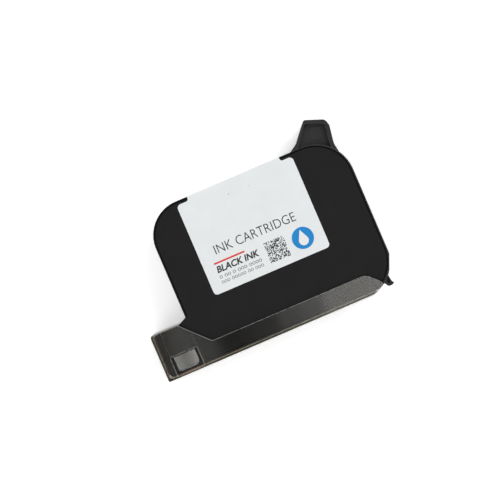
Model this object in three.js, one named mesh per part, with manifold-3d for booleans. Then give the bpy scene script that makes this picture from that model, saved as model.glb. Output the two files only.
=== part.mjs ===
// Thermal inkjet print cartridge for a date coder, lying on its side, with its clear clip-on cap.
//
// The datum frame has x running from the nozzle face along the cartridge, y from the contact face towards
// the thumb tab, and z through the thickness with the mid-plane at 0. The last lines move the whole assembly
// so that the origin is under the middle of its bounding box, on the surface it lies on. All sizes are
// millimetres.

import * as THREE from 'three';
import { mergeVertices } from 'three/addons/utils/BufferGeometryUtils.js';
import Module from 'manifold-3d';

const wasm = await Module();
wasm.setup();

// ---------------------------------------------------------------- driving dimensions

const BODY = { left: 12.35, right: 85.2, bottom: 0, top: 55.0 };
const CORNER = { topLeft: 12.4, topRight: 13.6, bottomRight: 13.0, bottomLeft: 1.2 };
const SNOUT = { height: 15.5, half: 6.7, wrapRadius: 1.1, stepX: 2.9, step: 0.2 };

const RIM_HALF = 7.0;          // frame lip around each cover
const COVER_INNER = 6.8;       // inner face of each side cover
const COVER_OUTER = 7.3;       // outer face of each side cover
const COVER_GAP = 0.3;         // groove between cover and frame lip
const GROOVE = { floor: 5.9, under: 0.25 };   // channel under the cover's edge
const COVER_MARGIN = { left: 0.55, right: 0.75, top: 0.5, bottom: 0.6 };
const SEAT_GAP = 0.05;         // assembly gap under a resting face

const WALL = 1.6;              // frame ring wall
const LINER_OUT = 2.4;         // liner ring, measured in from the body outline
const LINER_IN = 3.8;
const LINER_HALF = 5.0;

const FILM = 0.15;             // bag film
const BAG_SLOPE_IN = 8.6;      // where the film's slope meets its flat middle
const BAG_FACE = 6.22;         // inner face of the film's flat middle
const PLATE_INSET = 9.8;
const PLATE = 0.3;
const GUARD = 0.1;             // edge guard sheet between plate and film

const CAP = {
  inner: 7.5, outer: 8.4, end: 0.79, endX: -1.39, bottom: -1.05, floor: -0.3, floorEnd: 76.3,
  top: 16.0, armTop: 6.35,
};
const TONGUE = { left: 3.4, right: 11.1, rootY: 6.1, tipY: 0.9, tilt: 5, corner: 1.0 };
const WINDOW = { left: 2.25, right: 12.1 };

const LABEL = { left: 24.65, right: 67.6, bottom: 20.0, shoulder: 53.5, neckLeft: 29.1, neckRight: 63.3 };
const LABEL_THICKNESS = 0.15;
const LABEL_LIFT = 0.02;       // adhesive layer under the label

const SWATH = { bottom: 1.6, top: 14.3, half: 2.9 };   // nozzle plate on the nozzle face
const TAPE = { thickness: 0.12, half: 6.1, end: 26.5, gap: 0.02 };
const PADS = { columns: 13, rows: 4, pitchX: 1.7, pitchZ: 2.7, size: 1.2, firstX: 4.2, thickness: 0.06 };

const FILL_PORT = { y: 35.0, boss: 3.2, bore: 2.0, ball: 1.9, x: 14.7 };

// ---------------------------------------------------------------- materials

const plastic = (color, roughness) => new THREE.MeshStandardMaterial({ color, roughness, metalness: 0 });
const metal = (color, roughness) => new THREE.MeshStandardMaterial({ color, roughness, metalness: 1 });
const clear = (color, opacity) => (
  new THREE.MeshStandardMaterial({ color, roughness: 0.08, transparent: true, opacity })
);

const MATERIAL = {
  frame: plastic(0x2b2b2b, 0.55),
  liner: plastic(0x8d9092, 0.5),
  cover: new THREE.MeshStandardMaterial({ color: 0x262626, roughness: 0.6, metalness: 0 }),
  film: clear(0xb9bec4, 0.6),
  steel: metal(0xb8babd, 0.35),
  spring: metal(0x9a9ea3, 0.3),
  guard: clear(0xd8d2bc, 0.7),
  screen: metal(0x8a8c8e, 0.5),
  tape: plastic(0xa4561c, 0.35),
  gold: metal(0xd9a83a, 0.3),
  silicon: plastic(0x3c3f49, 0.2),
  bead: plastic(0x1d1d22, 0.25),
  label: plastic(0xe6e9ea, 0.45),
  cap: clear(0xd9d6cc, 0.35),
  seal: plastic(0x4a4d52, 0.8),
};

// ---------------------------------------------------------------- geometry helpers

const ARC_TOLERANCE = 0.012;   // how far an arc's chords may run inside it
const LEAST_ARC = 0.05;        // corners shorter than this stay sharp

// Points of a closed outline whose corners [x, y, radius] are rounded by arcs.
function rounded(corners) {
  const points = [];
  corners.forEach(([x, y, radius = 0], i) => {
    const here = new THREE.Vector2(x, y);
    const back = new THREE.Vector2(...corners.at(i - 1)).sub(here).normalize();
    const ahead = new THREE.Vector2(...corners[(i + 1) % corners.length]).sub(here).normalize();
    const half = Math.acos(THREE.MathUtils.clamp(back.dot(ahead), -1, 1)) / 2;
    const reach = radius / Math.tan(half);
    if (reach < LEAST_ARC) {
      points.push(here);
      return;
    }
    const inward = back.clone().add(ahead).normalize();
    const centre = here.clone().addScaledVector(inward, radius / Math.sin(half));
    const from = here.clone().addScaledVector(back, reach).sub(centre);
    const turn = Math.sign(back.cross(ahead)) * (half * 2 - Math.PI);
    const steps = Math.ceil(Math.abs(turn) / (2 * Math.acos(1 - ARC_TOLERANCE / radius)));
    for (let k = 0; k <= steps; k += 1) {
      points.push(from.clone().rotateAround(new THREE.Vector2(), (turn * k) / steps).add(centre));
    }
  });
  return points;
}

// A closed three.js geometry as a manifold-3d solid.
function solid(geometry) {
  const bare = geometry.clone();
  bare.deleteAttribute('normal');
  bare.deleteAttribute('uv');
  const merged = mergeVertices(bare, 1e-5);
  return new wasm.Manifold(new wasm.Mesh({
    numProp: 3,
    vertProperties: new Float32Array(merged.attributes.position.array),
    triVerts: new Uint32Array(merged.index.array),
  }));
}

// An outline extruded from z = low to z = high.
function slab(points, low, high) {
  const settings = { depth: high - low, bevelEnabled: false };
  const geometry = new THREE.ExtrudeGeometry(new THREE.Shape(points), settings);
  return solid(geometry.translate(0, 0, low));
}

// A box from its lowest to its highest corner.
function block([x0, y0, z0], [x1, y1, z1]) {
  const geometry = new THREE.BoxGeometry(x1 - x0, y1 - y0, z1 - z0);
  return solid(geometry.translate((x0 + x1) / 2, (y0 + y1) / 2, (z0 + z1) / 2));
}

// A cylinder whose axis runs along x.
function rod(radius, x0, x1, y, z, sides = 32) {
  const geometry = new THREE.CylinderGeometry(radius, radius, x1 - x0, sides);
  return solid(geometry.rotateZ(Math.PI / 2).translate((x0 + x1) / 2, y, z));
}

// The same pieces on both faces of the cartridge.
const bothFaces = (piece) => piece.add(piece.mirror([0, 0, 1]));

// A solid skinned over loops of points that run in step, closed by a fan over the first and the last loop.
function skin(loops) {
  const count = loops[0].length;
  const vertices = loops.flat().flatMap((p) => [p.x, p.y, p.z]);
  const middle = (loop) => loop.reduce((sum, p) => sum.add(p), new THREE.Vector3()).divideScalar(count);
  vertices.push(...middle(loops[0]).toArray(), ...middle(loops.at(-1)).toArray());
  const firstMiddle = loops.length * count;
  const lastMiddle = firstMiddle + 1;
  const lastLoop = (loops.length - 1) * count;
  const faces = [];
  for (let i = 0; i < count; i += 1) {
    const next = (i + 1) % count;
    faces.push(firstMiddle, next, i, lastMiddle, lastLoop + i, lastLoop + next);
    for (let j = 0; j < loops.length - 1; j += 1) {
      const a = j * count;
      const b = a + count;
      faces.push(a + i, a + next, b + next, a + i, b + next, b + i);
    }
  }
  return new wasm.Manifold(new wasm.Mesh({
    numProp: 3,
    vertProperties: new Float32Array(vertices),
    triVerts: new Uint32Array(faces),
  }));
}

// Corners of the ink bag's rounded outline, moved in from the body's walls by inset.
function bodyCorners(inset) {
  const radius = (r) => Math.max(r - inset, 1.0);
  return [
    [BODY.left + inset, BODY.bottom + inset, radius(CORNER.bottomLeft)],
    [BODY.right - inset, BODY.bottom + inset, radius(CORNER.bottomRight)],
    [BODY.right - inset, BODY.top - inset, radius(CORNER.topRight)],
    [BODY.left + inset, BODY.top - inset, radius(CORNER.topLeft)],
  ];
}

// The body outline at one height, with a fixed number of points per corner so that loops run in step.
function bodyLoop(inset, z) {
  const stepsPerCorner = 8;
  const loop = [];
  bodyCorners(inset).forEach(([x, y, radius], corner) => {
    const inwardX = corner === 0 || corner === 3 ? 1 : -1;
    const inwardY = corner < 2 ? 1 : -1;
    for (let k = 0; k <= stepsPerCorner; k += 1) {
      const angle = Math.PI + (corner + k / stepsPerCorner) * (Math.PI / 2);
      loop.push(new THREE.Vector3(
        x + inwardX * radius + Math.cos(angle) * radius,
        y + inwardY * radius + Math.sin(angle) * radius,
        z,
      ));
    }
  });
  return loop;
}

const pen = new THREE.Group();

// Adds a manifold-3d solid to the assembly as a named mesh.
function add(name, piece, material) {
  const { numProp, vertProperties, triVerts } = piece.getMesh();
  const geometry = new THREE.BufferGeometry();
  const positions = numProp === 3 ? vertProperties : vertProperties.filter((_, i) => i % numProp < 3);
  geometry.setAttribute('position', new THREE.BufferAttribute(new Float32Array(positions), 3));
  geometry.setIndex(new THREE.BufferAttribute(new Uint32Array(triVerts), 1));
  geometry.computeVertexNormals();
  const mesh = new THREE.Mesh(geometry, material);
  mesh.name = name;
  pen.add(mesh);
  return mesh;
}

// ---------------------------------------------------------------- frame

const SHOULDER = { x: 8.8, y: SNOUT.height };   // foot of the slope between snout and body

// The left side of an outline, from the top left corner down: the ear that slopes down on to the snout's root.
function earCorners(margin) {
  return [
    [BODY.left + margin.left, BODY.top - margin.top, CORNER.topLeft - margin.left],
    [BODY.left + margin.left, 16.9 + margin.left, 0.4],
    [SHOULDER.x + margin.left, SHOULDER.y + margin.left * 0.4, margin.left * 0.6],
    [SHOULDER.x + margin.left, SHOULDER.y - 1.0, 0.3],
    [BODY.left + margin.left, 11.4 - margin.left, 0.6],
  ];
}

// Outline of the frame's body: a flat chamfer at the bottom right, above the latch hook.
function frameOutline() {
  return rounded([
    [BODY.left, BODY.bottom, 0],
    [77.2, BODY.bottom, 4],
    [80.1, 1.3, 1.5],
    [82.3, 3.6, 0.8],
    [83.0, 4.7, 0.6],
    [BODY.right, 9.9, 1.5],
    [BODY.right, BODY.top, CORNER.topRight],
    ...earCorners({ left: 0, top: 0 }),
  ]);
}

// Outline of a cover, or of the recess it sits in: one wide arc takes in the bottom right corner.
function coverOutline(margin) {
  return rounded([
    [BODY.left + margin.left, BODY.bottom + margin.bottom, 0.6],
    [76.9, BODY.bottom + margin.bottom, 1],
    [BODY.right - margin.right, 3.65 + margin.right, CORNER.bottomRight + 0.75 - margin.right],
    [BODY.right - margin.right, BODY.top - margin.top, CORNER.topRight + 0.35 - margin.right],
    ...earCorners(margin),
  ]);
}

// The cover's margins moved out by distance.
function movedOut(distance) {
  return Object.fromEntries(Object.entries(COVER_MARGIN).map(([side, width]) => [side, width - distance]));
}

const TAB_FLOOR = 5.0;         // floor of the tab's recesses

// The thumb tab: a paddle leaning out from the top right corner. Both faces are recessed inside a rim that is
// broad along the tip and the outer side and narrow along the sloping side.
function thumbTab() {
  const paddle = slab(rounded([
    [66.6, 54.2, 0], [67.6, 55.0, 3.5], [70.6, 56.9, 6], [76.1, 63.4, 0.9],
    [83.0, 60.75, 1.8], [83.65, 58.4, 1.2], [82.6, 52.0, 6], [83.2, 48.2, 0], [80.0, 47.0, 0],
  ]), -6.6, 6.6);
  const recess = slab(rounded([
    [70.0, 54.5, 0.4], [75.9, 62.1, 0.7], [82.45, 59.55, 1.0], [82.3, 58.5, 0.8], [81.1, 51.3, 0.5],
    [79.0, 50.0, 0.5],
  ]), TAB_FLOOR, 7.0);
  const pad = slab(
    rounded([[76.3, 55.8, 0.5], [79.9, 55.2, 0.5], [80.3, 59.0, 0.5], [77.4, 60.1, 0.5]]),
    TAB_FLOOR - 0.1,
    TAB_FLOOR + 0.25,
  );
  return paddle.subtract(bothFaces(recess)).add(bothFaces(pad));
}

// The latch hook under the bottom right corner: a wedge with a pocket between two ribs.
function latchHook() {
  const wedge = slab(rounded([
    [77.6, 3.4, 0], [78.9, 1.7, 0.3], [80.3, 0.5, 0.5], [80.9, -0.6, 0.3], [82.2, -0.6, 0.3],
    [83.1, -0.1, 0.3], [82.5, 0.8, 0.3], [82.15, 3.0, 0.5], [82.6, 5.6, 0], [80.0, 7.0, 0],
  ]), -3.4, 3.4);
  const pocket = slab(rounded([
    [80.95, 0.5, 0.2], [81.75, 0.3, 0.2], [81.85, 2.5, 0.2], [80.95, 2.9, 0.2],
  ]), 2.2, 4);
  return wedge.subtract(bothFaces(pocket));
}

function snout() {
  const outline = rounded([
    [0, 0, SNOUT.wrapRadius], [BODY.left + 2, 0, 0], [BODY.left + 2, 13, 0],
    [SHOULDER.x + 0.9, SNOUT.height, 0], [0, SNOUT.height, 0.6],
  ]);
  const sunk = block([SNOUT.stepX, 1.6, SNOUT.half - SNOUT.step], [11.8, 14.4, SNOUT.half + 1]);
  return slab(outline, -SNOUT.half, SNOUT.half).subtract(bothFaces(sunk));
}

// Ink way through the snout: the liner's channel, the feed slot and the seat of the printhead die.
function inkWay() {
  const channel = block([1.8, 2.0, -4.5], [BODY.left + WALL + 1, 13.5, 4.5]);
  const feed = block([0.3, 2.2, -0.7], [2.2, 13.7, 0.7]);
  const seat = block(
    [-1, SWATH.bottom - 0.15, -SWATH.half - 0.15],
    [0.72, SWATH.top + 0.15, SWATH.half + 0.15],
  );
  return channel.add(feed).add(seat);
}

function frame() {
  const bag = slab(rounded(bodyCorners(WALL)), -10, 10);
  const coverSeat = slab(coverOutline(movedOut(COVER_GAP)), COVER_INNER - SEAT_GAP, 10);
  const groove = slab(coverOutline(movedOut(COVER_GAP)), GROOVE.floor, 10)
    .subtract(slab(coverOutline(movedOut(-GROOVE.under)), 0, 11));
  const portHole = rod(FILL_PORT.boss + 0.15, BODY.left - 2, BODY.left + WALL + 1, FILL_PORT.y, 0);
  return slab(frameOutline(), -RIM_HALF, RIM_HALF)
    .add(thumbTab())
    .add(latchHook())
    .subtract(bothFaces(coverSeat.add(groove)))
    .add(snout())
    .subtract(bag)
    .subtract(inkWay())
    .subtract(portHole);
}

// ---------------------------------------------------------------- side covers

// A clip on a cover's inner face that grips the inside of the frame ring.
function clip(x0, y0, x1, y1) {
  return block([x0, y0, 4.3], [x1, y1, COVER_INNER + 0.1]);
}

function cover() {
  const near = WALL + 0.08;
  const far = near + 0.5;
  const width = 5;
  const clips = [
    ...[28, 62].map((x) => clip(x, BODY.bottom + near, x + width, BODY.bottom + far)),
    ...[26, 64].map((x) => clip(x, BODY.top - far, x + width, BODY.top - near)),
    ...[20].map((y) => clip(BODY.left + near, y, BODY.left + far, y + width)),
    ...[26].map((y) => clip(BODY.right - far, y, BODY.right - near, y + width)),
  ];
  const panel = slab(coverOutline(COVER_MARGIN), COVER_INNER, COVER_OUTER);
  return clips.reduce((sum, piece) => sum.add(piece), panel);
}

// ---------------------------------------------------------------- ink bag

// The soft liner ring that the bag films are welded to, with its channel into the snout and its fill port.
function liner() {
  const ring = slab(rounded(bodyCorners(LINER_OUT)), -LINER_HALF, LINER_HALF);
  const inside = slab(rounded(bodyCorners(LINER_IN)), -10, 10);
  const mouth = BODY.left + LINER_IN;
  const channel = block([2.1, 2.3, -4.2], [mouth - 0.4, 13.2, 4.2]);
  const bore = block([0, 3.5, -3.0], [mouth + 1, 12.0, 3.0]);
  const screenSeat = block([mouth - 1.2, 3.0, -3.5], [mouth + 1, 12.5, 3.5]);
  const boss = rod(FILL_PORT.boss, BODY.left + 0.3, mouth - 0.4, FILL_PORT.y, 0);
  const port = rod(FILL_PORT.bore, 0, mouth + 1, FILL_PORT.y, 0);
  return ring.subtract(inside).add(channel).add(boss).subtract(bore).subtract(screenSeat).subtract(port);
}

// A dished film, welded flat to the liner's edge and bulging out towards the cover.
function bagFilm() {
  const edge = LINER_HALF + SEAT_GAP;
  const outside = LINER_OUT + 0.1;
  return skin([
    bodyLoop(BAG_SLOPE_IN, BAG_FACE),
    bodyLoop((LINER_IN + BAG_SLOPE_IN) / 2 + 0.8, (edge + BAG_FACE) / 2 + 0.2),
    bodyLoop(LINER_IN + 0.2, edge),
    bodyLoop(outside, edge),
    bodyLoop(outside, edge + FILM),
    bodyLoop(LINER_IN + 0.1, edge + FILM),
    bodyLoop((LINER_IN + BAG_SLOPE_IN) / 2 + 0.6, (edge + BAG_FACE) / 2 + 0.2 + FILM),
    bodyLoop(BAG_SLOPE_IN - 0.1, BAG_FACE + FILM),
  ]);
}

const GUARD_TOP = BAG_FACE - 0.02;
const PLATE_TOP = GUARD_TOP - GUARD - 0.02;

const edgeGuard = () => slab(rounded(bodyCorners(PLATE_INSET - 0.9)), GUARD_TOP - GUARD, GUARD_TOP);
const pressurePlate = () => slab(rounded(bodyCorners(PLATE_INSET)), PLATE_TOP - PLATE, PLATE_TOP);

// A leaf bent in a bow across the bag: its middle bears on the rear plate and its curled ends on the front one.
function bowSpring() {
  const thickness = 0.35;
  const halfSpan = 17;
  const lowest = -(PLATE_TOP - PLATE) + 0.05;
  const highest = PLATE_TOP - PLATE - 0.05;
  const curl = 1.2;
  const across = 24;
  const rise = (t) => lowest + (highest - lowest - curl * 0.25) * t ** 2;
  const lower = [];
  const upper = [];
  for (let k = 0; k <= across; k += 1) {
    const t = (k / across) * 2 - 1;
    const curlDrop = curl * Math.max(0, Math.abs(t) - 0.88) ** 2 * 40;
    const z = rise(t) - curlDrop;
    lower.push(new THREE.Vector2(t * halfSpan, z));
    upper.unshift(new THREE.Vector2(t * halfSpan, z + thickness));
  }
  const width = 9;
  const profile = new THREE.Shape([...lower, ...upper]);
  const strip = new THREE.ExtrudeGeometry(profile, { depth: width, bevelEnabled: false });
  strip.rotateX(Math.PI / 2);
  strip.translate((BODY.left + BODY.right) / 2, (BODY.bottom + BODY.top) / 2 + width / 2, 0);
  return solid(strip);
}

function filterScreen() {
  const seat = BODY.left + LINER_IN - 1.2;
  return block([seat + SEAT_GAP, 3.1, -3.4], [seat + SEAT_GAP + 0.2, 12.4, 3.4]);
}

function fillBall() {
  return solid(new THREE.SphereGeometry(FILL_PORT.ball, 20, 12).translate(FILL_PORT.x, FILL_PORT.y, 0));
}

// ---------------------------------------------------------------- printhead

// The flexible circuit: a tape over the nozzle face, bent round the snout's edge and along the contact face.
function flexCircuit() {
  const { thickness, half, end, gap } = TAPE;
  const outer = gap + thickness;
  const bend = SNOUT.wrapRadius;
  const around = rounded([[-outer, -outer, bend + outer], [end, -outer, 0], [end, 30, 0], [-outer, 30, 0]]);
  const within = rounded([[-gap, -gap, bend + gap], [end + 9, -gap, 0], [end + 9, 40, 0], [-gap, 40, 0]]);
  const strip = slab(around, -half, half)
    .subtract(slab(within, -10, 10))
    .subtract(block([-5, SNOUT.height - 0.15, -10], [end + 9, 50, 10]));
  const opening = block(
    [-1, SWATH.bottom - 0.45, -SWATH.half - 0.1],
    [0.5, SWATH.top + 0.65, SWATH.half + 0.1],
  );
  return strip.subtract(opening);
}

// The copper layer on the contact face: rows of pads, with the tracks that join them and lead to the printhead.
function contactPads() {
  const face = -(TAPE.gap + TAPE.thickness) - 0.005;
  const low = face - PADS.thickness;
  const rowZ = (row) => (row - (PADS.rows - 1) / 2) * PADS.pitchZ;
  const lastX = PADS.firstX + (PADS.columns - 1) * PADS.pitchX;
  const reach = rowZ(PADS.rows - 1);
  let copper = block([1.6, low, -reach - 0.1], [2.0, face, reach + 0.1]);
  for (let row = 0; row < PADS.rows; row += 1) {
    const z = rowZ(row);
    copper = copper.add(block([1.7, low, z - 0.1], [lastX, face, z + 0.1]));
    for (let column = 0; column < PADS.columns; column += 1) {
      const x = PADS.firstX + column * PADS.pitchX;
      copper = copper.add(block([x, low, z - PADS.size / 2], [x + PADS.size, face, z + PADS.size / 2]));
    }
  }
  return copper;
}

const nozzlePlate = () => block([-0.12, SWATH.bottom, -SWATH.half], [-0.02, SWATH.top, SWATH.half]);
const printheadDie = () => block([0.0, SWATH.bottom, -SWATH.half], [0.6, SWATH.top, SWATH.half]);

// A sealing bead over the bonds at one end of the nozzle plate.
const encapsulantBead = (y0, y1) => block([-0.28, y0, -SWATH.half], [-0.02, y1, SWATH.half]);

// ---------------------------------------------------------------- label

// One label: a panel on each cover, joined by a neck folded over the top wall.
function wrapLabel() {
  const inner = COVER_OUTER + LABEL_LIFT;
  const outer = inner + LABEL_THICKNESS;
  const top = BODY.top + LABEL_LIFT + LABEL_THICKNESS;
  const panel = slab(rounded([
    [LABEL.left, LABEL.bottom, 1.4], [LABEL.right, LABEL.bottom, 1.4],
    [LABEL.right, LABEL.shoulder, 1.4], [LABEL.neckRight, LABEL.shoulder, 0.9], [LABEL.neckRight, top, 0],
    [LABEL.neckLeft, top, 0], [LABEL.neckLeft, LABEL.shoulder, 0.9], [LABEL.left, LABEL.shoulder, 1.4],
  ]), inner, outer);
  const fold = block([LABEL.neckLeft, BODY.top + LABEL_LIFT, -outer], [LABEL.neckRight, top, outer]);
  return bothFaces(panel).add(fold);
}

// ---------------------------------------------------------------- clear cap

function capWallOutline() {
  return rounded([
    [CAP.endX, CAP.bottom, 0.5], [75.2, CAP.bottom, 6], [79.2, 0.9, 1.0], [78.9, 2.0, 0.6], [74.6, CAP.armTop, 4],
    [17.8, CAP.armTop, 1.2], [8.6, CAP.top, 0.5], [CAP.endX, CAP.top, 1.2],
  ]);
}

function protectiveCap() {
  const wall = slab(capWallOutline(), CAP.inner, CAP.outer);
  const windowTop = TONGUE.rootY + (CAP.outer - CAP.inner) / 2 + SEAT_GAP;
  const opening = slab(rounded([
    [WINDOW.left, CAP.floor, 0], [WINDOW.right, CAP.floor, 0],
    [WINDOW.right, windowTop, 0.45], [WINDOW.left, windowTop, 0.45],
  ]), 0, 10);
  const inX = CAP.endX + CAP.end;
  const trough = slab(rounded([
    [CAP.endX - 1, CAP.bottom - 1, 0], [CAP.floorEnd, CAP.bottom - 1, 0], [CAP.floorEnd, CAP.floor, 0],
    [inX, CAP.floor, 0.6], [inX, CAP.top + 1, 0], [CAP.endX - 1, CAP.top + 1, 0],
  ]), -CAP.inner - 0.1, CAP.inner + 0.1);
  const shell = trough.intersect(slab(capWallOutline(), -CAP.outer, CAP.outer));
  return bothFaces(wall).subtract(bothFaces(opening)).add(shell);
}

// A snap tongue in the cap's side wall, leaning in on to the snout. Its root is round about the hinge axis.
function tongue() {
  const middle = (CAP.inner + CAP.outer) / 2;
  const radius = (CAP.outer - CAP.inner) / 2;
  const leaf = slab(rounded([
    [TONGUE.left, TONGUE.tipY, TONGUE.corner], [TONGUE.right, TONGUE.tipY, TONGUE.corner * 1.6],
    [TONGUE.right, TONGUE.rootY, 0], [TONGUE.left, TONGUE.rootY, 0],
  ]), CAP.inner, CAP.outer);
  const root = rod(radius, TONGUE.left, TONGUE.right, TONGUE.rootY, middle, 24);
  return leaf.add(root).translate([0, -TONGUE.rootY, -middle]).rotate([TONGUE.tilt, 0, 0])
    .translate([0, TONGUE.rootY, middle]);
}

function sealPad() {
  const wallFace = CAP.endX + CAP.end;
  return block([wallFace + 0.02, 1.0, -4.2], [wallFace + 0.22, 15.0, 4.2]);
}

// ---------------------------------------------------------------- assembly

const mirrored = (piece) => piece.mirror([0, 0, 1]);

add('frame', frame(), MATERIAL.frame);
add('front_cover', cover(), MATERIAL.cover);
add('rear_cover', mirrored(cover()), MATERIAL.cover);
add('ink_bag_liner', liner(), MATERIAL.liner);
add('front_bag_film', bagFilm(), MATERIAL.film);
add('rear_bag_film', mirrored(bagFilm()), MATERIAL.film);
add('front_edge_guard', edgeGuard(), MATERIAL.guard);
add('rear_edge_guard', mirrored(edgeGuard()), MATERIAL.guard);
add('front_pressure_plate', pressurePlate(), MATERIAL.steel);
add('rear_pressure_plate', mirrored(pressurePlate()), MATERIAL.steel);
add('bow_spring', bowSpring(), MATERIAL.spring);
add('filter_screen', filterScreen(), MATERIAL.screen);
add('fill_port_ball', fillBall(), MATERIAL.steel);
add('flex_circuit', flexCircuit(), MATERIAL.tape);
add('contact_pads', contactPads(), MATERIAL.gold);
add('printhead_die', printheadDie(), MATERIAL.silicon);
add('nozzle_plate', nozzlePlate(), MATERIAL.gold);
add('lower_encapsulant_bead', encapsulantBead(SWATH.bottom - 0.4, SWATH.bottom - 0.06), MATERIAL.bead);
add('upper_encapsulant_bead', encapsulantBead(SWATH.top + 0.06, SWATH.top + 0.6), MATERIAL.bead);
add('wrap_label', wrapLabel(), MATERIAL.label);
add('protective_cap', protectiveCap(), MATERIAL.cap);
add('cap_front_tongue', tongue(), MATERIAL.cap);
add('cap_rear_tongue', mirrored(tongue()), MATERIAL.cap);
add('nozzle_seal_pad', sealPad(), MATERIAL.seal);

// The origin goes under the middle of the bounding box, on the surface the cartridge lies on.
const box = new THREE.Box3().setFromObject(pen);
pen.position.set(-(box.min.x + box.max.x) / 2, -(box.min.y + box.max.y) / 2, -box.min.z);

const assembly = new THREE.Group();
assembly.add(pen);
export default assembly;
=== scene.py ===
"""Looks of a thermal inkjet cartridge with its clear cap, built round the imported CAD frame.

Lengths named in millimetres are measured from the cartridge's datum: x from the nozzle face, y from the
contact face, z from the mid-plane. point() turns them into metres in the frame's own axes.
"""

import math
import random

import bmesh
import bpy
from mathutils import Matrix, Vector


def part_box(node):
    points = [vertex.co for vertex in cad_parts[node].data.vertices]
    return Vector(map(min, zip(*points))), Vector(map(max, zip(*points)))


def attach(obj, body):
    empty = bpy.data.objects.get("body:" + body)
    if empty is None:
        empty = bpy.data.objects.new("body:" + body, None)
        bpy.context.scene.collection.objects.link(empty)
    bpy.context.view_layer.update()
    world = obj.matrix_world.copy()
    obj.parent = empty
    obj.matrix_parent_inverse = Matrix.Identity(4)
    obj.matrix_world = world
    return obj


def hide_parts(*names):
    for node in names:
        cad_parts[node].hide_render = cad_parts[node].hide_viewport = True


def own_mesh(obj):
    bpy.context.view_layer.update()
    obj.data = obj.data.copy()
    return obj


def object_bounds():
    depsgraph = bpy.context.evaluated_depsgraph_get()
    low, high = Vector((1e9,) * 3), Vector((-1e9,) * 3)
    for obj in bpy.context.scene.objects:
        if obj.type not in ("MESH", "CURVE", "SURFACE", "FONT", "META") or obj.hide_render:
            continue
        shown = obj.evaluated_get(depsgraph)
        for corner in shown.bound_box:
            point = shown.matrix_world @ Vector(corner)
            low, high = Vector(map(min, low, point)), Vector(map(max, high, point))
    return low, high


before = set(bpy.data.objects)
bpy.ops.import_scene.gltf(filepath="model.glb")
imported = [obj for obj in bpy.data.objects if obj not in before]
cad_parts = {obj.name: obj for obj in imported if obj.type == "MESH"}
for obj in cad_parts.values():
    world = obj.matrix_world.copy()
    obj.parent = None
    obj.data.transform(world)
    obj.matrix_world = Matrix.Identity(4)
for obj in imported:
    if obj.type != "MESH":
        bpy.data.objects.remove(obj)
cad_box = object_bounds()

MM = 0.001

# ------------------------------------------------------------------ dimensions, in millimetres from the datum

NOZZLE_ROW_START = 1.6
COVER_FACE = 7.3
BODY_TOP = 55.0
LABEL_LIFT = 0.02
LABEL_THICKNESS = 0.15
LABEL_BEND = 0.45
LABEL = {
    "left": 24.65,
    "right": 67.6,
    "bottom": 20.0,
    "shoulder": 53.5,
    "neck_left": 29.1,
    "neck_right": 63.3,
}
FRAME_EDGE_WIDTH = 0.09
COVER_EDGE_WIDTH = 0.26
CAP_EDGE_WIDTH = 0.15
CAP_INNER = 7.5
SEAM = {"x": 2.3, "low": 6.7, "high": 15.6, "width": 0.12, "depth": 0.1, "root": 0.02}

frame_low, frame_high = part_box("frame")
DATUM = Vector((
    frame_low.x,
    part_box("nozzle_plate")[0].y - NOZZLE_ROW_START * MM,
    (frame_low.z + frame_high.z) / 2,
))


def point(x, y, z=0.0):
    return DATUM + Vector((x, y, z)) * MM


# ------------------------------------------------------------------ materials


class Material:
    """A node material under construction."""

    def __init__(self, name):
        self.material = bpy.data.materials.new(name)
        self.material.use_nodes = True
        self.tree = self.material.node_tree
        self.tree.nodes.clear()
        self.output = self.tree.nodes.new("ShaderNodeOutputMaterial")
        self.shader = self.tree.nodes.new("ShaderNodeBsdfPrincipled")
        self.link(self.shader.outputs["BSDF"], self.output.inputs["Surface"])
        self.coordinates = self.tree.nodes.new("ShaderNodeTexCoord").outputs["Object"]
        self.normal = None

    def link(self, source, target):
        self.tree.links.new(source, target)

    def set(self, **values):
        for name, value in values.items():
            self.shader.inputs[name.replace("_", " ")].default_value = value
        return self

    def noise(self, size, detail=2.0, roughness=0.5, stretch=(1, 1, 1)):
        """Noise whose features are about size millimetres across."""
        mapping = self.tree.nodes.new("ShaderNodeMapping")
        mapping.inputs["Scale"].default_value = stretch
        self.link(self.coordinates, mapping.inputs["Vector"])
        node = self.tree.nodes.new("ShaderNodeTexNoise")
        node.inputs["Scale"].default_value = 1 / (size * MM)
        node.inputs["Detail"].default_value = detail
        node.inputs["Roughness"].default_value = roughness
        self.link(mapping.outputs["Vector"], node.inputs["Vector"])
        return node.outputs["Fac"]

    def spread(self, value, low, high, start=0.3, end=0.7):
        """Maps a 0 to 1 pattern on to the range from low to high."""
        node = self.tree.nodes.new("ShaderNodeMapRange")
        for name, number in zip(("From Min", "From Max", "To Min", "To Max"), (start, end, low, high)):
            node.inputs[name].default_value = number
        self.link(value, node.inputs["Value"])
        return node.outputs["Result"]

    def colours(self, value, dark, light, start=0.3, end=0.7):
        node = self.tree.nodes.new("ShaderNodeValToRGB")
        node.color_ramp.elements[0].position = start
        node.color_ramp.elements[0].color = (*dark, 1)
        node.color_ramp.elements[1].position = end
        node.color_ramp.elements[1].color = (*light, 1)
        self.link(value, node.inputs["Fac"])
        self.link(node.outputs["Color"], self.shader.inputs["Base Color"])
        return node.outputs["Color"]

    def roughness(self, value, low, high):
        self.link(self.spread(value, low, high), self.shader.inputs["Roughness"])

    def bump(self, value, height, strength=1.0):
        """Adds relief of the given height in millimetres."""
        node = self.tree.nodes.new("ShaderNodeBump")
        node.inputs["Strength"].default_value = strength
        node.inputs["Distance"].default_value = height * MM
        self.link(value, node.inputs["Height"])
        if self.normal:
            self.link(self.normal, node.inputs["Normal"])
        self.normal = node.outputs["Normal"]
        self.link(self.normal, self.shader.inputs["Normal"])


def grey(value, tint=(1, 1, 1)):
    return tuple(value * t for t in tint)


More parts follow.
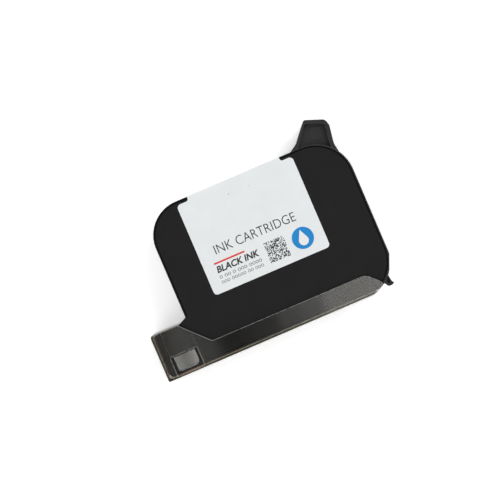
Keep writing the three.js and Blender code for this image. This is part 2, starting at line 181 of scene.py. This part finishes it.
def moulded_plastic(name, dark, light, grain, relief, rough, specular=0.5):
    """Injection-moulded plastic: a fine texture etched in the mould and faint flow clouding."""
    made = Material(name)
    made.colours(made.noise(9, detail=3), dark, light)
    fine = made.noise(grain, detail=3, roughness=0.6)
    made.roughness(made.noise(grain * 3, detail=2), *rough)
    made.bump(made.noise(14, detail=1), 0.03, 0.5)
    made.bump(fine, relief)
    made.set(Specular_IOR_Level=specular)
    return made.material


def sheet_metal(name, dark, light, rough):
    """Rolled strip: streaks along the rolling direction."""
    made = Material(name)
    streaks = made.noise(0.25, detail=4, stretch=(0.04, 1, 1))
    made.colours(streaks, dark, light)
    made.roughness(streaks, *rough)
    made.bump(streaks, 0.004)
    made.set(Metallic=1.0)
    return made.material


def woven_screen(name):
    """Fine metal gauze: two crossed sets of wires."""
    made = Material(name)
    weave = None
    for direction in ("Y", "Z"):
        wave = made.tree.nodes.new("ShaderNodeTexWave")
        wave.bands_direction = direction
        wave.inputs["Scale"].default_value = 1 / (0.5 * MM)
        made.link(made.coordinates, wave.inputs["Vector"])
        if weave is None:
            weave = wave.outputs["Fac"]
        else:
            mix = made.tree.nodes.new("ShaderNodeMath")
            mix.operation = "MAXIMUM"
            made.link(weave, mix.inputs[0])
            made.link(wave.outputs["Fac"], mix.inputs[1])
            weave = mix.outputs["Value"]
    made.colours(weave, grey(0.05), grey(0.4))
    made.bump(weave, 0.03)
    made.set(Metallic=1.0, Roughness=0.45)
    return made.material


def polyimide(name):
    """Amber circuit tape with faint tracks showing through."""
    made = Material(name)
    tracks = made.noise(0.5, detail=1, stretch=(0.08, 0.08, 1))
    made.colours(tracks, (0.16, 0.045, 0.006), (0.42, 0.15, 0.02), 0.42, 0.58)
    made.roughness(made.noise(2), 0.2, 0.34)
    made.bump(tracks, 0.012)
    made.set(Coat_Weight=0.5, Coat_Roughness=0.1)
    return made.material


def gold(name):
    made = Material(name)
    wear = made.noise(0.4, detail=3)
    made.colours(wear, (0.62, 0.38, 0.1), (0.9, 0.62, 0.22))
    made.roughness(wear, 0.22, 0.4)
    made.bump(made.noise(0.1), 0.002)
    made.set(Metallic=1.0)
    return made.material


def silicon(name):
    made = Material(name)
    made.colours(made.noise(1.5), (0.02, 0.022, 0.03), (0.05, 0.052, 0.065))
    made.roughness(made.noise(0.5), 0.08, 0.2)
    made.set(Metallic=0.6)
    return made.material


def resin(name):
    made = Material(name)
    made.colours(made.noise(0.8), (0.004, 0.004, 0.007), (0.012, 0.012, 0.017))
    made.roughness(made.noise(0.6), 0.12, 0.28)
    made.bump(made.noise(0.7), 0.03)
    return made.material


def foam(name):
    made = Material(name)
    cells = made.noise(0.25, detail=3)
    made.colours(cells, grey(0.03), grey(0.09))
    made.bump(cells, 0.05)
    made.set(Roughness=0.95, Sheen_Weight=0.2)
    return made.material


def bag_film(name):
    made = Material(name)
    wrinkles = made.noise(5, detail=3, stretch=(1, 0.5, 1))
    made.colours(wrinkles, (0.3, 0.32, 0.35), (0.55, 0.57, 0.6))
    made.roughness(wrinkles, 0.1, 0.22)
    made.bump(wrinkles, 0.25)
    made.set(Metallic=0.5, Coat_Weight=0.6)
    return made.material


def cloudy_sheet(name):
    made = Material(name)
    clouds = made.noise(4, detail=3)
    made.colours(clouds, (0.5, 0.46, 0.36), (0.68, 0.64, 0.52))
    made.roughness(clouds, 0.25, 0.45)
    made.bump(clouds, 0.02)
    return made.material


def label_paper(name):
    """Coated white label stock: faint fibre clouding and the slightest ripple."""
    made = Material(name)
    fibres = made.noise(0.35, detail=4, roughness=0.65)
    clouds = made.noise(7, detail=3)
    mix = made.tree.nodes.new("ShaderNodeMath")
    mix.operation = "MULTIPLY_ADD"
    mix.inputs[1].default_value = 0.35
    made.link(fibres, mix.inputs[0])
    made.link(clouds, mix.inputs[2])
    made.colours(mix.outputs["Value"], (0.755, 0.78, 0.788), (0.785, 0.81, 0.818), 0.5, 0.85)
    made.roughness(fibres, 0.42, 0.55)
    made.bump(clouds, 0.06, 0.6)
    made.bump(fibres, 0.006)
    made.set(Specular_IOR_Level=0.35)
    return made.material


def ink(name, dark, light, rough=(0.35, 0.5)):
    """Printed ink, slightly uneven in density."""
    made = Material(name)
    density = made.noise(0.3, detail=3)
    made.colours(density, dark, light)
    made.roughness(density, *rough)
    made.bump(density, 0.004)
    return made.material


def clear_plastic(name):
    """Clear moulded styrene: polished faces with a gentle wave, warm and smoky through its thickness."""
    made = Material(name)
    wave = made.noise(13, detail=2, roughness=0.45)
    made.colours(made.noise(5), (0.94, 0.938, 0.93), (0.97, 0.97, 0.965))
    made.roughness(made.noise(3.5, detail=3), 0.02, 0.045)
    made.bump(wave, 0.007)
    made.set(Transmission_Weight=1.0, IOR=1.52)
    absorption = made.tree.nodes.new("ShaderNodeVolumeAbsorption")
    absorption.inputs["Color"].default_value = (0.60, 0.56, 0.38, 1)
    absorption.inputs["Density"].default_value = 330
    made.link(absorption.outputs["Volume"], made.output.inputs["Volume"])
    return made.material


def cap_edge_painted_highlight(name):
    """The cap's rounded edges, frosted whitish: a painted highlight standing for the bright lines along the
    clear rim.
    """
    made = Material(name)
    frost = made.noise(1.2, detail=3)
    made.colours(frost, (0.37, 0.36, 0.345), (0.5, 0.49, 0.475))
    made.roughness(frost, 0.2, 0.45)
    made.bump(made.noise(0.4), 0.004)
    made.set(Transmission_Weight=0.55, IOR=1.52)
    return made.material


FLOOR_GLOW = 0.42


def pale_floor(name):
    """A white sheet on a light table: it glows a little from below."""
    made = Material(name)
    made.colours(made.noise(60, detail=2), grey(0.93), grey(0.95))
    made.roughness(made.noise(4), 0.75, 0.9)
    made.set(Specular_IOR_Level=0.1, Emission_Color=(1, 1, 1, 1), Emission_Strength=FLOOR_GLOW)
    return made.material


COVER_BLACK = moulded_plastic("cover_plastic", grey(0.0065), grey(0.008), 0.22, 0.012, (0.5, 0.62), 0.2)
FRAME_BLACK = moulded_plastic("frame_plastic", grey(0.021), grey(0.025), 0.3, 0.008, (0.42, 0.52), 0.25)
# The frame's edges are a little lighter: a painted highlight along its rim.
FRAME_EDGE_PAINTED_HIGHLIGHT = moulded_plastic("frame_edge_painted_highlight", grey(0.042), grey(0.055), 0.3, 0.004, (0.35, 0.45), 0.4)
# The covers' edges are darker: painted shade standing for the groove round each cover, so that it reads as
# deep as it does in the photo.
COVER_EDGE_PAINTED_SHADE = moulded_plastic("cover_edge_painted_shade", grey(0.0015), grey(0.0025), 0.3, 0.004, (0.5, 0.6), 0.05)
LINER_GREY = moulded_plastic("liner_plastic", grey(0.24), grey(0.29, (0.98, 1, 1.02)), 0.3, 0.01, (0.4, 0.55))
CLEAR = clear_plastic("cap_plastic")
CLEAR_EDGE_PAINTED_HIGHLIGHT = cap_edge_painted_highlight("cap_edge_painted_highlight")
LABEL_WHITE = label_paper("label_paper")
INK_BLACK = ink("print_black", grey(0.012), grey(0.03))
INK_GREY = ink("print_grey", grey(0.1), grey(0.17))
INK_RED = ink("print_red", (0.62, 0.03, 0.02), (0.75, 0.06, 0.04))
INK_BLUE = ink("print_blue", (0.0, 0.2, 0.54), (0.0, 0.25, 0.63))
INK_WHITE = ink("print_white", grey(0.78), grey(0.83))
STEEL = sheet_metal("plate_steel", grey(0.42), grey(0.62), (0.28, 0.42))
SPRING_STEEL = sheet_metal("spring_steel", grey(0.3), grey(0.5), (0.22, 0.36))

# ------------------------------------------------------------------ mesh helpers


def new_object(name, mesh):
    obj = bpy.data.objects.new(name, mesh)
    bpy.context.scene.collection.objects.link(obj)
    return obj


def keep_flats_flat(mesh):
    """Shades smooth, with corners following the largest face around them, so that flats mirror like flats."""
    same_surface = 0.6
    around = [[] for _ in mesh.vertices]
    for polygon in mesh.polygons:
        for index in polygon.vertices:
            around[index].append(polygon)
    normals = []
    for polygon in mesh.polygons:
        for index in polygon.vertices:
            total = Vector()
            for other in around[index]:
                if other.normal.dot(polygon.normal) > same_surface:
                    total += other.normal * (other.area / MM**2) ** 2
            normals.append(total.normalized())
    mesh.polygons.foreach_set("use_smooth", [True] * len(mesh.polygons))
    mesh.normals_split_custom_set(normals)


def settle(obj, *materials, sharp=40):
    """Applies the modifiers for good and sets the materials.

    Shades smooth up to the angle sharp in degrees, or with flats kept flat if it is None.
    """
    bpy.context.view_layer.update()
    depsgraph = bpy.context.evaluated_depsgraph_get()
    mesh = bpy.data.meshes.new_from_object(obj.evaluated_get(depsgraph), depsgraph=depsgraph)
    name = obj.name
    bpy.data.objects.remove(obj)
    mesh.name = name
    slots = [min(polygon.material_index, len(materials) - 1) for polygon in mesh.polygons]
    mesh.materials.clear()
    for material in materials:
        mesh.materials.append(material)
    mesh.polygons.foreach_set("material_index", slots)
    if sharp is None:
        keep_flats_flat(mesh)
    else:
        mesh.polygons.foreach_set("use_smooth", [True] * len(mesh.polygons))
        mesh.set_sharp_from_angle(angle=math.radians(sharp))
    return new_object(name, mesh)


def round_edges(obj, width, segments=3, angle=32, edge_slot=-1):
    """Rounds the edges by width in millimetres, with a material slot of their own if asked."""
    bevel = obj.modifiers.new("edges", "BEVEL")
    bevel.width = width * MM
    bevel.segments = segments
    bevel.limit_method = "ANGLE"
    bevel.angle_limit = math.radians(angle)
    bevel.use_clamp_overlap = False
    bevel.material = edge_slot
    return obj


def cad_copy(node, name):
    """A copy of a CAD node with its flat faces whole again."""
    weld_distance = 0.02
    flat_angle = 0.6
    many_corners = 24
    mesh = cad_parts[node].data.copy()
    work = bmesh.new()
    work.from_mesh(mesh)
    bmesh.ops.remove_doubles(work, verts=work.verts, dist=weld_distance * MM)
    bmesh.ops.dissolve_limit(
        work, angle_limit=math.radians(flat_angle), verts=work.verts, edges=work.edges)
    bmesh.ops.triangulate(work, faces=[face for face in work.faces if len(face.verts) > many_corners])
    work.to_mesh(mesh)
    work.free()
    return new_object(name, mesh)


def place(obj, body, slot, *nodes):
    """Hands a piece to its body, and lets it stand for the CAD nodes; slot is not used."""
    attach(obj, body)
    if nodes:
        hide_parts(*nodes)
    return obj


def refine(node, name, body, slot, material, width, segments=3, angle=32, edge_material=None):
    """Shows a CAD node with rounded edges."""
    obj = cad_copy(node, name)
    materials = [material, edge_material] if edge_material else [material]
    obj.data.materials.clear()
    for entry in materials:
        obj.data.materials.append(entry)
    round_edges(obj, width, segments, angle, len(materials) - 1 if edge_material else -1)
    return place(settle(obj, *materials, sharp=None), body, slot, node)


def dress(node, material):
    """Gives a CAD node that keeps its own shape a new material."""
    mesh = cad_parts[node].data
    mesh.materials.clear()
    mesh.materials.append(material)


def rounded(corners):
    """Points of a closed outline whose corners (x, y, radius) are rounded by arcs."""
    points = []
    for i, (x, y, radius) in enumerate(corners):
        here = Vector((x, y))
        back = (Vector(corners[i - 1][:2]) - here).normalized()
        ahead = (Vector(corners[(i + 1) % len(corners)][:2]) - here).normalized()
        if radius == 0:
            points.append(here)
            continue
        half = back.angle(ahead) / 2
        centre = here + (back + ahead).normalized() * radius / math.sin(half)
        start = here + back * radius / math.tan(half) - centre
        cross = back.x * ahead.y - back.y * ahead.x
        turn = math.copysign(math.pi - 2 * half, -cross)
        steps = max(4, math.ceil(abs(turn) * 6))
        for k in range(steps + 1):
            points.append(centre + Matrix.Rotation(turn * k / steps, 2) @ start)
    return points


def flat_faces(name, outlines, z, thickness):
    """Thin printed shapes: each outline filled at height z and given a thickness, in millimetres."""
    work = bmesh.new()
    for outline in outlines:
        face = work.faces.new([work.verts.new(point(p[0], p[1], z)) for p in outline])
        face.normal_update()
        if face.normal.z < 0:
            face.normal_flip()
    result = bmesh.ops.extrude_face_region(work, geom=list(work.faces))
    lifted = [item for item in result["geom"] if isinstance(item, bmesh.types.BMVert)]
    bmesh.ops.translate(work, verts=lifted, vec=(0, 0, thickness * MM))
    bmesh.ops.recalc_face_normals(work, faces=work.faces)
    mesh = bpy.data.meshes.new(name)
    work.to_mesh(mesh)
    work.free()
    return new_object(name, mesh)


# ------------------------------------------------------------------ cartridge body

# The frame's rounded edges carry the lighter painted-highlight material.
refine("frame", "frame_shell", "cartridge", "frame_plastic", FRAME_BLACK, FRAME_EDGE_WIDTH,
       edge_material=FRAME_EDGE_PAINTED_HIGHLIGHT)
# The covers' rounded edges carry the dark painted-shade material for the groove.
for node in ("front_cover", "rear_cover"):
    refine(node, f"{node}_panel", "cartridge", "cover_plastic", COVER_BLACK, COVER_EDGE_WIDTH,
           edge_material=COVER_EDGE_PAINTED_SHADE)

# ------------------------------------------------------------------ label


def folded_label():
    """The label, cut flat and then folded over the top wall on to the rear cover."""
    middle = LABEL_LIFT + LABEL_THICKNESS / 2
    top = BODY_TOP + middle
    face = COVER_FACE + middle
    straight = top - LABEL_BEND - LABEL["bottom"]
    arc = LABEL_BEND * math.pi / 2
    across = 2 * (face - LABEL_BEND)
    length = 2 * (straight + arc) + across
    shoulder = LABEL["shoulder"] - LABEL["bottom"]

    def half(flip):
        side = [
            (LABEL["neck_left"], shoulder, 0.9), (LABEL["left"], shoulder, 1.4), (LABEL["left"], 0.0, 1.4),
            (LABEL["right"], 0.0, 1.4), (LABEL["right"], shoulder, 1.4), (LABEL["neck_right"], shoulder, 0.9),
        ]
        return [(x, length - s, r) for x, s, r in reversed(side)] if flip else side

    work = bmesh.new()
    outline = rounded(half(False) + half(True))
    work.faces.new([work.verts.new((x, s, 0)) for x, s in outline])
    bmesh.ops.triangulate(work, faces=work.faces)
    bend_steps = 6
    cuts = [straight + arc * k / bend_steps for k in range(bend_steps + 1)]
    cuts += [length - cut for cut in cuts] + [length / 2]
    for cut in cuts:
        everything = list(work.verts) + list(work.edges) + list(work.faces)
        bmesh.ops.bisect_plane(work, geom=everything, plane_co=(0, cut, 0), plane_no=(0, 1, 0))

    def folded(x, s):
        front = s <= length / 2
        run = s if front else length - s
        if run <= straight:
            y, z = LABEL["bottom"] + run, face
        elif run <= straight + arc:
            angle = (run - straight) / LABEL_BEND
            y = top - LABEL_BEND + LABEL_BEND * math.sin(angle)
            z = face - LABEL_BEND + LABEL_BEND * math.cos(angle)
        else:
            y, z = top, face - LABEL_BEND - (run - straight - arc)
        return point(x, y, z if front else -z)

    for vert in work.verts:
        vert.co = folded(vert.co.x, vert.co.y)
    bmesh.ops.recalc_face_normals(work, faces=work.faces)
    mesh = bpy.data.meshes.new("folded_label")
    work.to_mesh(mesh)
    work.free()
    obj = new_object("folded_label", mesh)
    thick = obj.modifiers.new("thickness", "SOLIDIFY")
    thick.thickness = LABEL_THICKNESS * MM
    thick.offset = 0
    return settle(obj, LABEL_WHITE)


place(folded_label(), "cartridge", "label_paper", "wrap_label")

PRINT_GAP = 0.002
PRINT_FACE = COVER_FACE + LABEL_LIFT + LABEL_THICKNESS + PRINT_GAP
PRINT_THICKNESS = 0.006
CAPITAL_SHARE = 0.73


def words(name, text, left, right, baseline, height, material, weight=0.0, shear=0.0):
    """A line of plain lettering, fitted between left and right with capitals of the given height."""
    curve = bpy.data.curves.new(name, "FONT")
    curve.body = text
    curve.shear = shear
    curve.offset = weight * MM
    curve.size = height * MM / CAPITAL_SHARE
    curve.extrude = PRINT_THICKNESS * MM / 2
    curve.resolution_u = 3
    obj = settle(new_object(name, curve), material)
    low = min(vert.co.x for vert in obj.data.vertices)
    high = max(vert.co.x for vert in obj.data.vertices)
    stretch = (right - left) * MM / (high - low)
    obj.data.transform(Matrix.Diagonal((stretch, 1, 1, 1)) @ Matrix.Translation((-low, 0, 0)))
    obj.data.transform(Matrix.Translation(point(left, baseline, PRINT_FACE + PRINT_THICKNESS / 2)))
    return place(obj, "cartridge", "label_paper")


def bar(x0, x1, y0, y1, radius=0.0):
    return rounded([(x0, y0, radius), (x1, y0, radius), (x1, y1, radius), (x0, y1, radius)])


def printed(name, outlines, material, lift=0.0):
    obj = flat_faces(name, outlines, PRINT_FACE + lift, PRINT_THICKNESS)
    return place(settle(obj, material), "cartridge", "label_paper")


def disc(x, y, radius, count=48):
    return [(x + radius * math.cos(2 * math.pi * k / count), y + radius * math.sin(2 * math.pi * k / count))
            for k in range(count)]


def drop(x, y, radius, tip):
    """A plain drop: a round bottom drawn up to a point."""
    tangent = math.acos(radius / tip)
    first, last = math.pi / 2 + tangent, math.pi / 2 - tangent + 2 * math.pi
    steps = 28
    round_part = [(x + radius * math.cos(first + (last - first) * k / steps),
                   y + radius * math.sin(first + (last - first) * k / steps)) for k in range(steps + 1)]
    return [*round_part, (x, y + tip)]


def dot_square(x0, y0, size, cells, seed):
    """A square of dots filled at random: it holds no code."""
    draw = random.Random(seed)
    cell = size / cells
    ink_share = 0.55
    dots = []
    for row in range(cells):
        for column in range(cells):
            if draw.random() < ink_share:
                x, y = x0 + column * cell, y0 + row * cell
                dots.append(bar(x, x + cell * 0.96, y, y + cell * 0.96))
    return dots


words("print_title", "INK CARTRIDGE", 30.6, 60.4, 32.8, 3.4, INK_BLACK, weight=-0.03)
words("print_subtitle", "BLACK INK", 28.6, 44.3, 26.75, 2.3, INK_BLACK, weight=0.1, shear=0.2)
words("print_digits", "0 00 0 000 0000", 28.6, 44.2, 24.55, 1.2, INK_GREY)
words("print_small_digits", "000 00000 00 000", 28.6, 44.2, 22.75, 1.1, INK_GREY)
printed("print_red_rule", [bar(28.5, 39.9, 29.75, 30.35, 0.2)], INK_RED)
printed("print_dot_square", dot_square(46.75, 22.6, 7.3, 24, 11), INK_BLACK)
printed("print_badge", [disc(60.05, 26.4, 3.82)], INK_BLUE)
printed("print_badge_drop", [drop(60.05, 25.5, 1.7, 3.9)], INK_WHITE, lift=PRINT_THICKNESS + PRINT_GAP)
printed("print_specks", [disc(42.6, 50.2, 0.16, 10), disc(50.1, 50.15, 0.11, 10)], INK_GREY)

# ------------------------------------------------------------------ clear cap

# The cap pieces' rounded edges take the whitish painted-highlight material.
for node, name, body in (
    ("protective_cap", "cap_shell", "cap"),
    ("cap_front_tongue", "cap_front_snap", "front_tongue"),
    ("cap_rear_tongue", "cap_rear_snap", "rear_tongue"),
):
    refine(node, name, body, "cap_plastic", CLEAR, CAP_EDGE_WIDTH, segments=4, angle=28,
           edge_material=CLEAR_EDGE_PAINTED_HIGHLIGHT)

# A weld line down each wall of the cap, on its inner face.
for side, name in ((1, "cap_front_seam"), (-1, "cap_rear_seam")):
    low, high = sorted((side * (CAP_INNER - SEAM["depth"]), side * (CAP_INNER + SEAM["root"])))
    outline = bar(SEAM["x"], SEAM["x"] + SEAM["width"], SEAM["low"], SEAM["high"])
    seam = flat_faces(name, [outline], low, high - low)
    # Each seam is drawn in the cap edges' whitish painted-highlight material.
    place(settle(seam, CLEAR_EDGE_PAINTED_HIGHLIGHT), "cap", "cap_plastic")

# ------------------------------------------------------------------ printhead, circuit and inside

dress("flex_circuit", polyimide("tape_film"))
dress("contact_pads", gold("gold_plating"))
dress("nozzle_plate", gold("nozzle_gold"))
dress("printhead_die", silicon("die_silicon"))
dress("lower_encapsulant_bead", resin("bead_resin"))
dress("upper_encapsulant_bead", resin("bead_resin_upper"))
dress("nozzle_seal_pad", foam("seal_rubber"))
dress("ink_bag_liner", LINER_GREY)
dress("front_bag_film", bag_film("bag_film"))
dress("rear_bag_film", bag_film("bag_film_rear"))
dress("front_edge_guard", cloudy_sheet("guard_film"))
dress("rear_edge_guard", cloudy_sheet("guard_film_rear"))
dress("front_pressure_plate", STEEL)
dress("rear_pressure_plate", STEEL)
dress("filter_screen", woven_screen("screen_steel"))
dress("fill_port_ball", STEEL)

spring = settle(cad_copy("bow_spring", "bow_spring_leaf"), SPRING_STEEL)
place(spring, "cartridge", "spring_steel", "bow_spring")
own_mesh(spring)

# ------------------------------------------------------------------ floor, light and camera

floor_mesh = bpy.data.meshes.new("floor")
half_floor = 1.5
floor_corners = [(x * half_floor, y * half_floor, 0) for x, y in ((-1, -1), (1, -1), (1, 1), (-1, 1))]
floor_mesh.from_pydata(floor_corners, [], [(0, 1, 2, 3)])
floor_mesh.materials.append(pale_floor("floor"))
floor = new_object("floor", floor_mesh)
floor_gap = 0.0001
floor.location.z = cad_box[0].z - floor_gap


def soft_light(name, position, size, power, target=(0, 0, 0)):
    data = bpy.data.lights.new(name, "AREA")
    data.shape = "RECTANGLE"
    data.size, data.size_y = size
    data.energy = power
    light = bpy.data.objects.new(name, data)
    bpy.context.scene.collection.objects.link(light)
    light.location = position
    light.rotation_euler = (Vector(target) - Vector(position)).to_track_quat("-Z", "Y").to_euler()
    return light


soft_light("key", (0.75, 0.4, 0.7), (0.8, 0.8), 6.0)
soft_light("fill", (-0.7, -0.2, 0.75), (0.8, 0.8), 3.6)


PANEL_HEIGHT = 0.62
PANEL_DEPTH = 0.13


def mirrored_panel(name, x0, x1, y, steps):
    """A panel about level with the camera, facing straight down, that the clear cap mirrors.

    It runs from x0 to x1, and steps gives its radiance at positions along the way.
    """
    size = (x1 - x0, PANEL_DEPTH)
    middle = ((x0 + x1) / 2, y)
    brightest = max(radiance for _, radiance in steps)
    power = brightest * math.pi * size[0] * size[1]
    light = soft_light(name, (*middle, PANEL_HEIGHT), size, power, (*middle, 0))
    light.rotation_euler = (0, 0, 0)
    light.data.use_nodes = True
    nodes, links = light.data.node_tree.nodes, light.data.node_tree.links
    emission = next(node for node in nodes if node.type == "EMISSION")
    across = nodes.new("ShaderNodeNewGeometry").outputs["Parametric"]
    separate = nodes.new("ShaderNodeSeparateXYZ")
    ramp = nodes.new("ShaderNodeValToRGB")
    ramp.color_ramp.interpolation = "EASE"
    elements = ramp.color_ramp.elements
    while len(elements) < len(steps):
        elements.new(0.5)
    for element, (x, radiance) in zip(elements, steps):
        element.position = (x - x0) / (x1 - x0)
        element.color = (*grey(radiance / brightest), 1)
    links.new(across, separate.inputs["Vector"])
    links.new(separate.outputs["X"], ramp.inputs["Fac"])
    links.new(ramp.outputs["Color"], emission.inputs["Color"])
    return light


# The flat cap brightens towards its nose, and a little towards its snout.
mirrored_panel("cap_glint", -0.1, 0.16, -0.055, [
    (-0.1, 0.1), (-0.082, 0.2), (-0.066, 0.55), (-0.052, 0.5), (-0.038, 0.1), (-0.006, 0.26), (0.004, 0.6),
    (0.026, 0.9), (0.036, 1.75), (0.1, 2.2),
])
# A panel lower down, mirrored in the tilted snap tongue.
mirrored_panel("snap_glint", -0.13, -0.02, -0.185, [
    (-0.13, 1.0), (-0.083, 1.3), (-0.076, 3.0), (-0.069, 1.5), (-0.062, 3.4), (-0.02, 3.4),
])

world = bpy.data.worlds.new("studio")
bpy.context.scene.world = world
world.use_nodes = True
world_nodes, world_links = world.node_tree.nodes, world.node_tree.links
background = world_nodes["Background"]
direction = world_nodes.new("ShaderNodeTexCoord")
split = world_nodes.new("ShaderNodeSeparateXYZ")
fade = world_nodes.new("ShaderNodeMapRange")
fade.interpolation_type = "SMOOTHSTEP"
# The walls of the studio are bright and the ceiling over the object is dark.
wall_top, ceiling = 0.8, 0.975
wall_light, ceiling_light = 0.62, 0.01
fade_range = {"From Min": wall_top, "From Max": ceiling, "To Min": wall_light, "To Max": ceiling_light}
for key, number in fade_range.items():
    fade.inputs[key].default_value = number
world_links.new(direction.outputs["Generated"], split.inputs["Vector"])
world_links.new(split.outputs["Z"], fade.inputs["Value"])
world_links.new(fade.outputs["Result"], background.inputs["Strength"])
background.inputs["Color"].default_value = (1, 1, 1, 1)

CAMERA_DISTANCE = 0.62
VIEW_WIDTH = 0.171
VIEW_TURN = math.radians(23.2)
camera_data = bpy.data.cameras.new("camera")
camera_data.sensor_width = 36
camera_data.lens = camera_data.sensor_width * CAMERA_DISTANCE / VIEW_WIDTH
camera_data.clip_start, camera_data.clip_end = 0.01, 10
camera = bpy.data.objects.new("camera", camera_data)
bpy.context.scene.collection.objects.link(camera)
camera.location = point(41.8, 29.7, COVER_FACE) + Vector((0, 0, CAMERA_DISTANCE))
camera.rotation_euler = (0, 0, -VIEW_TURN)
bpy.context.scene.camera = camera
bpy.context.scene.view_settings.view_transform = "Standard"
